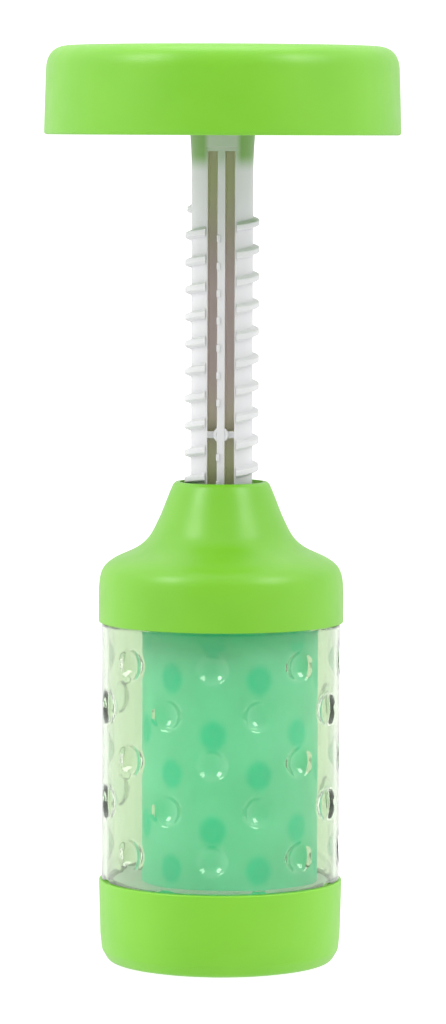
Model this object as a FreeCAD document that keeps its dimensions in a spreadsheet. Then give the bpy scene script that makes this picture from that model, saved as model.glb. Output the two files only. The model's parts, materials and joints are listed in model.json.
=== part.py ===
import FreeCAD, Part
import Sketcher
import math
import os

# A screw-fed massage roller that stands on its base cap. A large round handle turns a coarse
# threaded rod in a fixed nut under the neck, and the rod drives a press foot down a green core tube
# that stands inside a clear dimpled barrel.
# Millimetres, +Z up, origin at the centre of the base.

Vector = FreeCAD.Vector
LEAST_CUT = 0.01        # cubic millimetres that a pocket has to take away

SIZES = {
    # barrel, whose wider middle runs from cap to cap
    "barrel_radius": 37.4, "barrel_bore": 33.8, "barrel_bottom": 8.0, "barrel_top": 122.0,
    "spigot_radius": 36.0,
    # dimples pressed into the barrel, in sixteen staggered columns
    "dimple_sphere": 6.2, "dimple_depth": 2.7, "dimple_columns": 8.0, "dimple_rows": 3.0,
    "dimple_turn": -4.0,
    "row_even": 36.9, "row_odd": 22.4, "row_pitch": 29.7,
    # base cap
    "base_top": 26.4, "base_radius": 38.25, "base_flat": 31.6, "base_round": 6.3, "base_floor": 5.4,
    "base_side": 37.522, "base_recess": 1.4, "base_rim": 27.0, "rim_bevel": 1.0, "lip_bevel": 0.6,
    "cap_bore": 36.2,
    # collar
    "collar_bottom": 107.5, "collar_radius": 38.5, "collar_ledge": 124.5, "collar_boss": 31.0,
    "boss_bottom": 119.0, "neck_top": 151.6, "neck_radius": 14.35, "neck_bore": 13.06,
    # the collar's outline from skirt to lip: rounded shoulder, sloping top, concave cone
    "skirt_top": 119.3, "shoulder_radius": 33.4, "shoulder_top": 127.9, "shoulder_round": 9.8,
    "slope_radius": 28.2, "slope_top": 130.0, "cone_radius": 20.9, "cone_bottom": 137.3,
    "cone_hollow": 12.5, "lip_radius": 16.1, "lip_bottom": 148.6, "lip_round": 4.6,
    # fixed nut
    "nut_radius": 16.4, "nut_bore": 12.1, "nut_top": 138.0, "nut_flange": 22.0, "nut_bottom": 116.0,
    "ridge_root": 12.5, "ridge_reach": 10.1, "ridge_root_half": 2.9, "ridge_reach_half": 2.1,
    "nut_ridge_turns": 1.0,
    # the three screws that hold it
    "nut_screws": 3.0, "nut_screw_circle": 19.2, "nut_screw_radius": 1.25, "screw_hole": 1.4,
    "pilot_radius": 1.3, "pilot_depth": 8.2, "nut_head_radius": 2.4, "nut_head_tall": 1.8,
    "nut_screw_length": 10.5, "head_overlap": 0.5,
    # core tube, which stands off the barrel's axis
    "core_offset": 2.9, "core_radius": 27.6, "core_bore": 26.1, "core_bottom": 8.5,
    "seat_radius": 33.5, "seat_spigot": 12.0, "plug_outer": 26.0, "plug_inner": 23.0,
    "locator_bottom": 110.5, "locator_top": 114.5, "low_locator_bottom": 22.2,
    "low_locator_top": 26.2,
    # rod and its thread
    "rod_radius": 9.6, "thread_radius": 11.6, "pitch": 8.5, "thread_start": 122.3,
    "thread_turns": 13.5, "ridge_base_half": 1.6, "ridge_tip_half": 0.7, "ridge_sunk": 0.5,
    "rod_shoulder": 113.5, "rod_spigot": 6.0, "rod_end": 104.0, "flare_radius": 10.4,
    "flare_start": 247.0, "flare_bend": 160.0, "tang_radius": 8.0, "tang_top": 280.0,
    "end_bore_depth": 12.0, "tang_bore_depth": 11.0,
    # the flats on the front and back of the rod, with two channels down each
    "rod_faces": 2.0,
    "flat_half": 4.9, "flat_depth": 1.2, "flat_low": 115.0, "flat_high": 256.2,
    "channel_width": 3.0, "channel_rib": 2.4, "channel_depth": 5.4, "channel_low": 124.0,
    "channel_high": 254.8, "cut_spare": 1.0, "bar_height": 166.7, "bar_tall": 2.2,
    "bar_sunk": 1.2, "bar_anchor": 0.3, "bar_bite": 0.2, "boss_radius": 2.4, "boss_sunk": 0.2,
    # handle
    "handle_radius": 55.7, "handle_crown": 54.85, "handle_bottom": 259.8, "handle_top": 287.5,
    "handle_round": 6.5, "handle_wall": 2.6, "handle_ceiling": 284.7, "hub_radius": 12.6,
    "hub_bottom": 263.0, "hub_draft": 0.5, "rib_bottom": 270.0, "rib_width": 1.8, "rib_count": 4.0,
    "rib_turn": 45.0, "rib_bite": 0.8, "rib_slope_side": 2.0, "rib_slope_top": 3.0,
    "plug_radius": 7.0, "plug_seat": 282.4, "plug_tall": 1.8, "plug_bevel": 0.4,
    "screw_passage": 2.3,
    # the fastenings at the rod's two ends
    "pin_height": 266.0, "pin_radius": 1.6, "pin_play": 0.02, "pin_short": 0.4,
    "shank_radius": 2.0, "shank_play": 0.02, "handle_washer_tall": 0.6, "handle_screw_tip": 270.0,
    "screw_point": 1.0, "head_radius": 4.4, "head_side": 1.6, "head_tall": 2.6, "head_top": 3.4,
    "slot_half_long": 2.2, "slot_half_wide": 0.45, "slot_depth": 1.3, "drive_slots": 4.0,
    "end_washer_tall": 1.2,
    "end_head_radius": 4.6, "end_head_low": 4.0, "end_head_tall": 2.0, "end_head_bevel": 1.3,
    "end_screw_reach": 11.8, "end_screw_point": 0.8,
    # press foot
    "foot_radius": 25.3, "foot_bottom": 108.5, "foot_top": 112.5, "nose_radius": 12.0,
    "nose_bottom": 100.0, "nose_round": 1.2, "bush_radius": 7.4, "bush_bottom": 104.3,
    "bush_play": 0.02, "recess_radius": 7.5, "groove_lip": 1.0, "wiper_depth": 2.2,
    "wiper_side": 25.2, "wiper_round": 1.14, "washer_inset": 0.6, "end_washer_lip": 1.0,
    "running_gap": 0.3, "close_fit": 0.05,
}


class Size:
    """A length that carries its spreadsheet formula along with its value."""

    def __init__(self, value, formula):
        self.value = value
        self.formula = formula

    def join(self, other, sign, value):
        text = other.formula if isinstance(other, Size) else repr(float(other))
        return Size(value, "(" + self.formula + sign + text + ")")

    def __add__(self, other):
        return self.join(other, " + ", self.value + number(other))

    def __sub__(self, other):
        return self.join(other, " - ", self.value - number(other))

    def __mul__(self, other):
        return self.join(other, " * ", self.value * number(other))

    def __truediv__(self, other):
        return self.join(other, " / ", self.value / number(other))

    def __neg__(self):
        return self * -1.0


def number(length):
    return length.value if isinstance(length, Size) else float(length)


doc = FreeCAD.newDocument("massage_roller")
sheet = doc.addObject("Spreadsheet::Sheet", "Sizes")
size = {}
for row, (name, amount) in enumerate(SIZES.items(), start=1):
    sheet.set("A%d" % row, name)
    sheet.set("B%d" % row, str(amount))
    sheet.setAlias("B%d" % row, name)
    size[name] = Size(amount, "Sizes." + name)
doc.recompute()
ZERO = size["pitch"] * 0.0


# ---------------------------------------------------------------- helpers

def bind(thing, path, length):
    """Ties a property or constraint to the spreadsheet."""
    if isinstance(length, Size):
        thing.setExpression(path, length.formula)


def new_body(name, offset=None):
    body = doc.addObject("PartDesign::Body", name)
    body.Label = name
    if offset is not None:
        body.Placement = FreeCAD.Placement(Vector(number(offset), 0, 0), FreeCAD.Rotation())
        bind(body, "Placement.Base.x", offset)
    return body


def origin_feature(body, role):
    return next(item for item in body.Origin.OriginFeatures if item.Role == role)


def new_sketch(body, name, role, level=None):
    """A sketch on one of the body's origin planes, moved out along its normal to a level."""
    sketch = body.newObject("Sketcher::SketchObject", name)
    sketch.AttachmentSupport = [(origin_feature(body, role), "")]
    sketch.MapMode = "FlatFace"
    if level is not None:
        sketch.AttachmentOffset = FreeCAD.Placement(Vector(0, 0, number(level)), FreeCAD.Rotation())
        bind(sketch, "AttachmentOffset.Base.z", level)
    return sketch


def pin_point(sketch, geometry, place, x, y):
    """Holds a point of the sketch at x, y from the origin."""
    for kind, value in (("DistanceX", x), ("DistanceY", y)):
        index = sketch.addConstraint(Sketcher.Constraint(kind, -1, 1, geometry, place, number(value)))
        bind(sketch, "Constraints[%d]" % index, value)


def arc_middle(start, end, radius):
    """The point half way round an arc; a negative radius bends the other way."""
    chord = end - start
    half = chord.Length / 2.0
    rise = abs(radius) - math.sqrt(radius * radius - half * half)
    side = Vector(-chord.y, chord.x, 0).normalize()
    return (start + end) * 0.5 - side * math.copysign(rise, radius)


def outline(sketch, corners):
    """A closed outline. A corner is (x, y), or (x, y, radius) where an arc arrives at it.

    The sketcher wants its arcs anticlockwise, so one that bends the other way is drawn backwards.
    """
    points = [Vector(number(corner[0]), number(corner[1]), 0) for corner in corners]
    for index, corner in enumerate(corners):
        start, end = points[index - 1], points[index]
        first_place, last_place = 1, 2
        if len(corner) == 3:
            middle = arc_middle(start, end, number(corner[2]))
            if number(corner[2]) < 0:
                start, end = end, start
                first_place, last_place = 2, 1
            edge = sketch.addGeometry(Part.Arc(start, middle, end), False)
            radius = corner[2] if number(corner[2]) > 0 else -corner[2]
            fixed = sketch.addConstraint(Sketcher.Constraint("Radius", edge, number(radius)))
            bind(sketch, "Constraints[%d]" % fixed, radius)
        else:
            edge = sketch.addGeometry(Part.LineSegment(start, end), False)
        pin_point(sketch, edge, last_place, corner[0], corner[1])
        pin_point(sketch, edge, first_place, corners[index - 1][0], corners[index - 1][1])


def circle(sketch, radius, x=ZERO, y=ZERO):
    centre = Vector(number(x), number(y), 0)
    edge = sketch.addGeometry(Part.Circle(centre, Vector(0, 0, 1), number(radius)), False)
    pin_point(sketch, edge, 3, x, y)
    index = sketch.addConstraint(Sketcher.Constraint("Radius", edge, number(radius)))
    bind(sketch, "Constraints[%d]" % index, radius)


def rectangle(sketch, left, right, low, high):
    outline(sketch, [(left, low), (right, low), (right, high), (left, high)])


def revolve(body, name, corners):
    """A turned solid: the outline is drawn as (radius, height) and spun about the body's Z axis."""
    sketch = new_sketch(body, name + "_outline", "XZ_Plane")
    outline(sketch, corners)
    turned = body.newObject("PartDesign::Revolution", name)
    turned.Profile = sketch
    turned.ReferenceAxis = (sketch, ["V_Axis"])
    turned.Angle = 360.0


def pad(body, name, sketch, length, both_ways=False):
    feature = body.newObject("PartDesign::Pad", name)
    feature.Profile = sketch
    feature.Length = number(length)
    bind(feature, "Length", length)
    feature.Midplane = both_ways
    return feature


def pocket(body, name, sketch, length, upward=False, both_ways=False):
    """Cuts a sketch into the solid and makes sure that something was cut."""
    doc.recompute()
    before = body.Shape.Volume
    feature = body.newObject("PartDesign::Pocket", name)
    feature.Profile = sketch
    feature.Length = number(length)
    bind(feature, "Length", length)
    feature.Reversed = upward
    feature.Midplane = both_ways
    doc.recompute()
    if body.Shape.Volume > before - LEAST_CUT:
        raise RuntimeError(name + " cuts nothing")
    return feature


def polar(body, name, features, count):
    pattern = body.newObject("PartDesign::PolarPattern", name)
    pattern.Originals = features
    pattern.Axis = (origin_feature(body, "Z_Axis"), [""])
    pattern.Angle = 360.0
    pattern.Occurrences = int(number(count))
    bind(pattern, "Occurrences", count)
    body.Tip = pattern


def helix_ridge(body, name, corners, turns):
    """A ridge swept round the Z axis as a right-hand helix."""
    sketch = new_sketch(body, name + "_outline", "XZ_Plane")
    outline(sketch, corners)
    doc.recompute()
    ridge = body.newObject("PartDesign::AdditiveHelix", name)
    ridge.Profile = sketch
    ridge.ReferenceAxis = (sketch, ["V_Axis"])
    ridge.Mode = "pitch-turns-angle"
    ridge.Pitch = number(size["pitch"])
    bind(ridge, "Pitch", size["pitch"])
    ridge.Turns = number(turns)
    bind(ridge, "Turns", turns)
    ridge.LeftHanded = False
    doc.recompute()


def ring(name, outer, inner, low, high, offset=None, hole_offset=ZERO):
    """A flat ring, washer or tube; the hole may stand off the ring's centre."""
    body = new_body(name, offset)
    sketch = new_sketch(body, name + "_outline", "XY_Plane", low)
    circle(sketch, outer)
    circle(sketch, inner, hole_offset)
    pad(body, name + "_pad", sketch, high - low)
    return body


# ---------------------------------------------------------------- barrel and base

def make_barrel():
    """The clear barrel: a wall with a narrower spigot at each end, and rows of round dimples."""
    body = new_body("barrel")
    wide, bore, spigot = size["barrel_radius"], size["barrel_bore"], size["spigot_radius"]
    revolve(body, "barrel_wall", [
        (bore, size["barrel_bottom"]), (spigot, size["barrel_bottom"]), (spigot, size["base_top"]),
        (wide, size["base_top"]), (wide, size["collar_bottom"]), (spigot, size["collar_bottom"]),
        (spigot, size["barrel_top"]), (bore, size["barrel_top"])])
    half_step = 180.0 / number(size["dimple_columns"])
    families = ((size["row_even"], 0.0), (size["row_odd"], half_step))
    for family, (lowest, turn) in enumerate(families):
        angle = math.radians(number(size["dimple_turn"]) + turn - 90.0)
        dimples = []
        for row in range(int(number(size["dimple_rows"]))):
            dimple = body.newObject("PartDesign::SubtractiveSphere", "dimple_%d_%d" % (family, row))
            dimple.AttachmentSupport = [(origin_feature(body, "XY_Plane"), "")]
            dimple.MapMode = "FlatFace"
            reach = wide + size["dimple_sphere"] - size["dimple_depth"]
            bind(dimple, "Radius", size["dimple_sphere"])
            bind(dimple, "AttachmentOffset.Base.x", reach * math.cos(angle))
            bind(dimple, "AttachmentOffset.Base.y", reach * math.sin(angle))
            bind(dimple, "AttachmentOffset.Base.z", lowest + size["row_pitch"] * row)
            dimples.append(dimple)
        doc.recompute()
        polar(body, "dimple_columns_%d" % family, dimples, size["dimple_columns"])
        doc.recompute()
    return body


def make_base_cap():
    """The lower cap: a cup with a rounded foot and a shallow recess underneath."""
    body = new_body("base_cap")
    rounding, bevel = size["base_round"], size["lip_bevel"]
    revolve(body, "base_cup", [
        (ZERO, size["base_floor"]), (ZERO, size["base_recess"]),
        (size["base_rim"] - size["rim_bevel"], size["base_recess"]), (size["base_rim"], ZERO),
        (size["base_flat"], ZERO), (size["base_side"], rounding, rounding),
        (size["base_radius"], size["base_top"] - bevel),
        (size["base_radius"] - bevel, size["base_top"]), (size["cap_bore"], size["base_top"]),
        (size["cap_bore"], size["base_floor"])])
    return body


def make_core_seat():
    """The disc on the base cap's floor, with the raised plug that closes the core tube."""
    body = new_body("core_seat")
    low = size["base_floor"]
    disc = new_sketch(body, "seat_disc_outline", "XY_Plane", low)
    circle(disc, size["seat_radius"])
    pad(body, "seat_disc", disc, size["core_bottom"] - low)
    plug = new_sketch(body, "seat_plug_outline", "XY_Plane", size["core_bottom"])
    circle(plug, size["plug_outer"], size["core_offset"])
    circle(plug, size["plug_inner"], size["core_offset"])
    pad(body, "seat_plug", plug, size["seat_spigot"] - size["core_bottom"])
    return body


# ---------------------------------------------------------------- collar and nut

def make_collar():
    """The upper cap: a straight skirt, a rounded shoulder and a hollow cone that ends in the neck."""
    body = new_body("collar")
    nut = size["nut_radius"] + size["close_fit"]
    revolve(body, "collar_wall", [
        (size["cap_bore"], size["collar_bottom"]), (size["collar_radius"], size["collar_bottom"]),
        (size["collar_radius"], size["skirt_top"]),
        (size["shoulder_radius"], size["shoulder_top"], size["shoulder_round"]),
        (size["slope_radius"], size["slope_top"]),
        (size["cone_radius"], size["cone_bottom"], -size["cone_hollow"]),
        (size["lip_radius"], size["lip_bottom"]),
        (size["neck_radius"], size["neck_top"], size["lip_round"]),
        (size["neck_bore"], size["neck_top"]), (size["neck_bore"], size["nut_top"]),
        (nut, size["nut_top"]), (nut, size["boss_bottom"]), (size["collar_boss"], size["boss_bottom"]),
        (size["collar_boss"], size["collar_ledge"]), (size["cap_bore"], size["collar_ledge"])])
    holes = new_sketch(body, "pilot_outline", "XY_Plane", size["boss_bottom"])
    circle(holes, size["pilot_radius"], size["nut_screw_circle"])
    pilot = pocket(body, "pilot_hole", holes, size["pilot_depth"], upward=True)
    polar(body, "pilot_holes", [pilot], size["nut_screws"])
    return body


def make_drive_nut():
    """The flanged nut: one turn of internal ridge that runs in the rod's groove."""
    body = new_body("drive_nut")
    bore = size["nut_bore"]
    revolve(body, "nut_wall", [
        (bore, size["nut_bottom"]), (size["nut_flange"], size["nut_bottom"]),
        (size["nut_flange"], size["boss_bottom"]), (size["nut_radius"], size["boss_bottom"]),
        (size["nut_radius"], size["nut_top"]), (bore, size["nut_top"])])
    middle = size["thread_start"] + size["pitch"] / 2.0
    root, reach = size["ridge_root"], size["ridge_reach"]
    root_half, reach_half = size["ridge_root_half"], size["ridge_reach_half"]
    helix_ridge(body, "nut_ridge", [
        (root, middle - root_half), (root, middle + root_half), (reach, middle + reach_half),
        (reach, middle - reach_half)], size["nut_ridge_turns"])
    holes = new_sketch(body, "screw_hole_outline", "XY_Plane", size["nut_bottom"])
    circle(holes, size["screw_hole"], size["nut_screw_circle"])
    hole = pocket(body, "screw_hole", holes, size["boss_bottom"] - size["nut_bottom"], upward=True)
    polar(body, "screw_holes", [hole], size["nut_screws"])
    return body


def cylinder(name, radius, low, height, x=ZERO, y=ZERO):
    shape = doc.addObject("Part::Cylinder", name)
    bind(shape, "Radius", radius)
    bind(shape, "Height", height)
    bind(shape, "Placement.Base.x", x)
    bind(shape, "Placement.Base.y", y)
    bind(shape, "Placement.Base.z", low)
    return shape


def make_nut_screws():
    """Three pan-head screws that hold the nut's flange up against the collar."""
    screws = []
    count = int(number(size["nut_screws"]))
    head_tall, overlap = size["nut_head_tall"], size["head_overlap"]
    for index in range(count):
        angle = 2.0 * math.pi * index / count
        x = size["nut_screw_circle"] * math.cos(angle)
        y = size["nut_screw_circle"] * math.sin(angle)
        head = cylinder("nut_screw_head_%d" % index, size["nut_head_radius"],
                        size["nut_bottom"] - head_tall, head_tall, x, y)
        shank = cylinder("nut_screw_shank_%d" % index, size["nut_screw_radius"],
                         size["nut_bottom"] - overlap, size["nut_screw_length"] + overlap, x, y)
        screw = doc.addObject("Part::Fuse", "nut_screw_%d" % index)
        screw.Base = head
        screw.Tool = shank
        screws.append(screw)
    group = doc.addObject("Part::Compound", "nut_screws")
    group.Label = "nut_screws"
    group.Links = screws
    return group


# ---------------------------------------------------------------- rod

def make_threaded_rod():
    """The feed screw: a coarse right-hand ridge, broken by a flat with two channels front and back."""
    body = new_body("threaded_rod")
    root, spigot, tang = size["rod_radius"], size["rod_spigot"], size["tang_radius"]
    flare_top = size["hub_bottom"]
    revolve(body, "rod_core", [
        (ZERO, size["rod_end"]), (spigot, size["rod_end"]), (spigot, size["rod_shoulder"]),
        (root, size["rod_shoulder"]), (root, size["flare_start"]),
        (size["flare_radius"], flare_top, -size["flare_bend"]), (tang, flare_top),
        (tang, size["tang_top"]), (ZERO, size["tang_top"])])
    middle, sunk, crest = size["thread_start"], root - size["ridge_sunk"], size["thread_radius"]
    base_half, tip_half = size["ridge_base_half"], size["ridge_tip_half"]
    helix_ridge(body, "rod_ridge", [
        (sunk, middle - base_half), (sunk, middle + base_half), (crest, middle + tip_half),
        (crest, middle - tip_half)], size["thread_turns"])

    front = root - size["flat_depth"]
    outside = crest + size["cut_spare"]
    face = new_sketch(body, "flat_outline", "XZ_Plane", outside)
    rectangle(face, -size["flat_half"], size["flat_half"], size["flat_low"], size["flat_high"])
    flat = pocket(body, "flat_cut", face, outside - front)
    channels = new_sketch(body, "channel_outline", "XZ_Plane", front)
    inner = size["channel_rib"] / 2.0
    outer = inner + size["channel_width"]
    for left, right in ((inner, outer), (-outer, -inner)):
        rectangle(channels, left, right, size["channel_low"], size["channel_high"])
    slots = pocket(body, "channel_cut", channels, size["channel_depth"])
    polar(body, "both_faces", [flat, slots], size["rod_faces"])

    bar = new_sketch(body, "bar_outline", "XZ_Plane", front - size["bar_sunk"])
    half, reach = size["bar_tall"] / 2.0, outer + size["bar_bite"]
    rectangle(bar, -reach, reach, size["bar_height"] - half, size["bar_height"] + half)
    bar_deep = size["channel_depth"] - size["bar_sunk"] + size["bar_anchor"]
    cross_bar = pad(body, "cross_bar", bar, bar_deep)
    cross_bar.Reversed = True
    cross_bar.Refine = False
    doc.recompute()
    disc = new_sketch(body, "boss_outline", "XZ_Plane", front - size["boss_sunk"])
    circle(disc, size["boss_radius"], ZERO, size["bar_height"])
    boss_deep = size["channel_depth"] + size["bar_anchor"]
    boss = pad(body, "round_boss", disc, boss_deep)
    boss.Reversed = True
    boss.Refine = False
    doc.recompute()

    screw = new_sketch(body, "end_bore_outline", "XY_Plane", size["rod_end"])
    circle(screw, size["shank_radius"])
    pocket(body, "end_bore", screw, size["end_bore_depth"], upward=True)
    top = new_sketch(body, "tang_bore_outline", "XY_Plane", size["tang_top"])
    circle(top, size["shank_radius"])
    pocket(body, "tang_bore", top, size["tang_bore_depth"])
    pin = new_sketch(body, "pin_bore_outline", "YZ_Plane")
    circle(pin, size["pin_radius"], ZERO, size["pin_height"])
    pocket(body, "pin_bore", pin, (tang + size["cut_spare"]) * 2.0, both_ways=True)
    return body


def make_end_screw():
    """The pan-head screw in the rod's lower end."""
    body = new_body("end_screw")
    seat = size["rod_end"] - size["end_washer_tall"]
    head, low = size["end_head_radius"], seat - size["end_head_tall"]
    shank = size["shank_radius"] - size["shank_play"]
    tip = size["rod_end"] + size["end_screw_reach"]
    revolve(body, "end_screw_turned", [
        (ZERO, low), (size["end_head_low"], low), (head, seat - size["end_head_bevel"]),
        (head, seat), (shank, seat), (shank, tip - size["end_screw_point"]), (ZERO, tip)])
    return body


# ---------------------------------------------------------------- handle

def make_handle_shell():
    """The round handle: a drafted rim and crown, open underneath, with a hub and radial ribs.

    The ribs' outer corners are cut off at a slope, so that they stay inside the rounded crown.
    """
    body = new_body("handle_shell")
    wall, crown, corner = size["handle_wall"], size["handle_crown"], size["handle_round"]
    low, top, ceiling = size["handle_bottom"], size["handle_top"], size["handle_ceiling"]
    hub, hub_low, seat = size["hub_radius"], size["hub_bottom"], size["plug_seat"]
    tang, passage = size["tang_radius"] + size["close_fit"], size["screw_passage"]
    revolve(body, "handle_wall_turned", [
        (hub, hub_low), (hub + size["hub_draft"], ceiling), (crown - corner, ceiling),
        (crown - wall, ceiling - corner + wall, wall - corner),
        (size["handle_radius"] - wall, low), (size["handle_radius"], low), (crown, top - corner),
        (crown - corner, top, corner), (size["plug_radius"], top), (size["plug_radius"], seat),
        (passage, seat), (passage, size["tang_top"]), (tang, size["tang_top"]), (tang, hub_low)])
    rib = new_sketch(body, "rib_outline", "XZ_Plane")
    bite, rib_low, rib_top = size["rib_bite"], size["rib_bottom"], ceiling + size["rib_bite"]
    rib_out = crown - wall + bite
    outline(rib, [
        (hub - bite, rib_low), (rib_out, rib_low), (rib_out, top - corner + size["rib_slope_side"]),
        (crown - corner + size["rib_slope_top"], rib_top), (hub - bite, rib_top)])
    rib.AttachmentOffset = FreeCAD.Placement(
        Vector(), FreeCAD.Rotation(Vector(0, 1, 0), number(size["rib_turn"])))
    bind(rib, "AttachmentOffset.Rotation.Angle", size["rib_turn"])
    web = pad(body, "rib", rib, size["rib_width"], both_ways=True)
    doc.recompute()
    polar(body, "ribs", [web], size["rib_count"])
    doc.recompute()
    pin = new_sketch(body, "hub_pin_outline", "YZ_Plane")
    circle(pin, size["pin_radius"], ZERO, size["pin_height"])
    pocket(body, "hub_pin_hole", pin, (hub + size["cut_spare"]) * 2.0, both_ways=True)
    return body


def make_handle_screw():
    """The screw that pulls the rod's tang up into the hub."""
    body = new_body("handle_screw")
    seat = size["plug_seat"] + size["handle_washer_tall"]
    shank, tip = size["shank_radius"] - size["shank_play"], size["handle_screw_tip"]
    head, head_top = size["head_radius"], seat + size["head_tall"]
    revolve(body, "handle_screw_turned", [
        (ZERO, tip), (shank, tip + size["screw_point"]), (shank, seat), (head, seat),
        (head, seat + size["head_side"]), (size["head_top"], head_top), (ZERO, head_top)])
    drive = new_sketch(body, "drive_outline", "XY_Plane", head_top)
    long_half, wide_half = size["slot_half_long"], size["slot_half_wide"]
    rectangle(drive, -long_half, long_half, -wide_half, wide_half)
    slot = pocket(body, "drive_slot", drive, size["slot_depth"])
    polar(body, "drive_cross", [slot], size["drive_slots"])
    return body


def make_handle_plug():
    """The flush cover over the handle's screw, with a chamfered rim."""
    body = new_body("handle_plug")
    radius, top = size["plug_radius"] - size["close_fit"], size["handle_top"]
    low, bevel = top - size["plug_tall"], size["plug_bevel"]
    revolve(body, "plug_turned", [
        (ZERO, low), (radius, low), (radius, top - bevel), (radius - bevel, top), (ZERO, top)])
    return body


def make_drive_pin():
    """The steel cross pin that carries the turning force from the hub to the rod."""
    body = new_body("drive_pin")
    sketch = new_sketch(body, "pin_outline", "YZ_Plane")
    circle(sketch, size["pin_radius"] - size["pin_play"], ZERO, size["pin_height"])
    pad(body, "pin_pad", sketch, size["hub_radius"] * 2.0 - size["pin_short"], both_ways=True)
    return body


# ---------------------------------------------------------------- press foot

def make_press_foot():
    """The press foot: a disc in the core tube with a nose below it that houses the swivel."""
    offset = size["core_offset"]
    body = new_body("press_foot", offset)
    radius, low, top = size["foot_radius"], size["foot_bottom"], size["foot_top"]
    nose, nose_low, rounding = size["nose_radius"], size["nose_bottom"], size["nose_round"]
    groove, lip = radius - size["wiper_depth"], size["groove_lip"]
    revolve(body, "foot_turned", [
        (ZERO, nose_low), (nose - rounding, nose_low), (nose, nose_low + rounding, rounding),
        (nose, low), (radius, low), (radius, low + lip), (groove, low + lip), (groove, top - lip),
        (radius, top - lip), (radius, top), (ZERO, top)])
    housing = new_sketch(body, "housing_outline", "XY_Plane", size["bush_bottom"])
    circle(housing, size["bush_radius"], -offset)
    pocket(body, "bush_housing", housing, top - size["bush_bottom"], upward=True)
    recess = new_sketch(body, "recess_outline", "XY_Plane", size["nose_bottom"])
    circle(recess, size["recess_radius"], -offset)
    pocket(body, "screw_recess", recess, size["bush_bottom"] - size["nose_bottom"], upward=True)
    return body


def make_wiper_ring():
    """The soft ring in the foot's groove, rounded on the side that runs along the core tube."""
    body = new_body("wiper_ring", size["core_offset"])
    inner, side = size["foot_radius"] - size["wiper_depth"], size["wiper_side"]
    low, top = size["foot_bottom"] + size["groove_lip"], size["foot_top"] - size["groove_lip"]
    revolve(body, "wiper_turned", [
        (inner, low), (side, low), (side, top, size["wiper_round"]), (inner, top)])
    return body


# ---------------------------------------------------------------- assembly

def make_parts():
    fit = size["close_fit"]
    parts = [make_base_cap(), make_core_seat(), make_barrel(), make_collar(), make_drive_nut(),
             make_nut_screws(), make_threaded_rod(), make_end_screw(), make_handle_shell(),
             make_handle_screw(), make_handle_plug(), make_drive_pin(), make_press_foot(),
             make_wiper_ring()]
    parts.append(ring("base_gasket", size["spigot_radius"], size["barrel_bore"],
                      size["base_floor"], size["barrel_bottom"]))
    parts.append(ring("collar_gasket", size["spigot_radius"], size["barrel_bore"],
                      size["barrel_top"], size["collar_ledge"]))
    parts.append(ring("core_tube", size["core_radius"], size["core_bore"], size["core_bottom"],
                      size["boss_bottom"], offset=size["core_offset"]))
    locators = (("core_locator", size["locator_bottom"], size["locator_top"]),
                ("lower_locator", size["low_locator_bottom"], size["low_locator_top"]))
    for name, low, high in locators:
        parts.append(ring(name, size["barrel_bore"] - fit, size["core_radius"] + fit, low, high,
                          hole_offset=size["core_offset"]))
    parts.append(ring("end_washer", size["rod_spigot"] + size["end_washer_lip"],
                      size["shank_radius"] + fit, size["rod_end"] - size["end_washer_tall"],
                      size["rod_end"]))
    parts.append(ring("swivel_bush", size["bush_radius"] - size["bush_play"],
                      size["rod_spigot"] + fit, size["bush_bottom"], size["foot_top"]))
    parts.append(ring("thrust_washer", size["rod_radius"] - size["washer_inset"],
                      size["rod_spigot"] + fit, size["foot_top"],
                      size["rod_shoulder"] - size["running_gap"]))
    parts.append(ring("handle_washer", size["plug_radius"] - size["washer_inset"],
                      size["shank_radius"] + fit, size["plug_seat"],
                      size["plug_seat"] + size["handle_washer_tall"]))
    return parts


parts = make_parts()
doc.recompute()

for thing in doc.Objects:
    if "Invalid" in thing.State or "Error" in thing.State:
        raise RuntimeError("%s failed: %s" % (thing.Name, thing.State))

os.makedirs("parts", exist_ok=True)
for item in parts:
    shape = item.Shape
    if shape.isNull() or not shape.isValid():
        raise RuntimeError(item.Label + " has no valid shape")
    shape.exportStep(os.path.join("parts", item.Label + ".step"))
    box = shape.optimalBoundingBox(False)
    print("%-14s %d solid(s) %10.1f mm3  x %6.1f..%6.1f  z %6.1f..%6.1f" % (
        item.Label, len(shape.Solids), shape.Volume, box.XMin, box.XMax, box.ZMin, box.ZMax))
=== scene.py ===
import json
import math

import bmesh
import bpy
from mathutils import Matrix, Vector


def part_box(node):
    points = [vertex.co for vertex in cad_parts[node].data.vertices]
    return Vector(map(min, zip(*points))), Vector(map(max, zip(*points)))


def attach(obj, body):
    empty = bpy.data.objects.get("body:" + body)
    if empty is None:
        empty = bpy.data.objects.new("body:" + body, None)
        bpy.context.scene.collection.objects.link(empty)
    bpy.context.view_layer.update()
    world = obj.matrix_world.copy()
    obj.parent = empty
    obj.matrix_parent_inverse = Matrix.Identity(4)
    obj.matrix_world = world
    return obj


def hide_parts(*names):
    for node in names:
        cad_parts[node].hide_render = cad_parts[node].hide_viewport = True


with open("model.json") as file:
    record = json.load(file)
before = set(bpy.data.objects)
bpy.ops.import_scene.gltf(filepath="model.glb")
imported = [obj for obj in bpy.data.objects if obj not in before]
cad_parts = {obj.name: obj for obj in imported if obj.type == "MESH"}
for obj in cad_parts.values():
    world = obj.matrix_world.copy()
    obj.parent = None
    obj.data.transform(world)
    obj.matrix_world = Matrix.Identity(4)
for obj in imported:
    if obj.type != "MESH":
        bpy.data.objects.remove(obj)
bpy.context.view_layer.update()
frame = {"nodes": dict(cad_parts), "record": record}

MM = 0.001
TURN = 2.0 * math.pi

# ---------------------------------------------------------------- sizes, in millimetres

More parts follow.
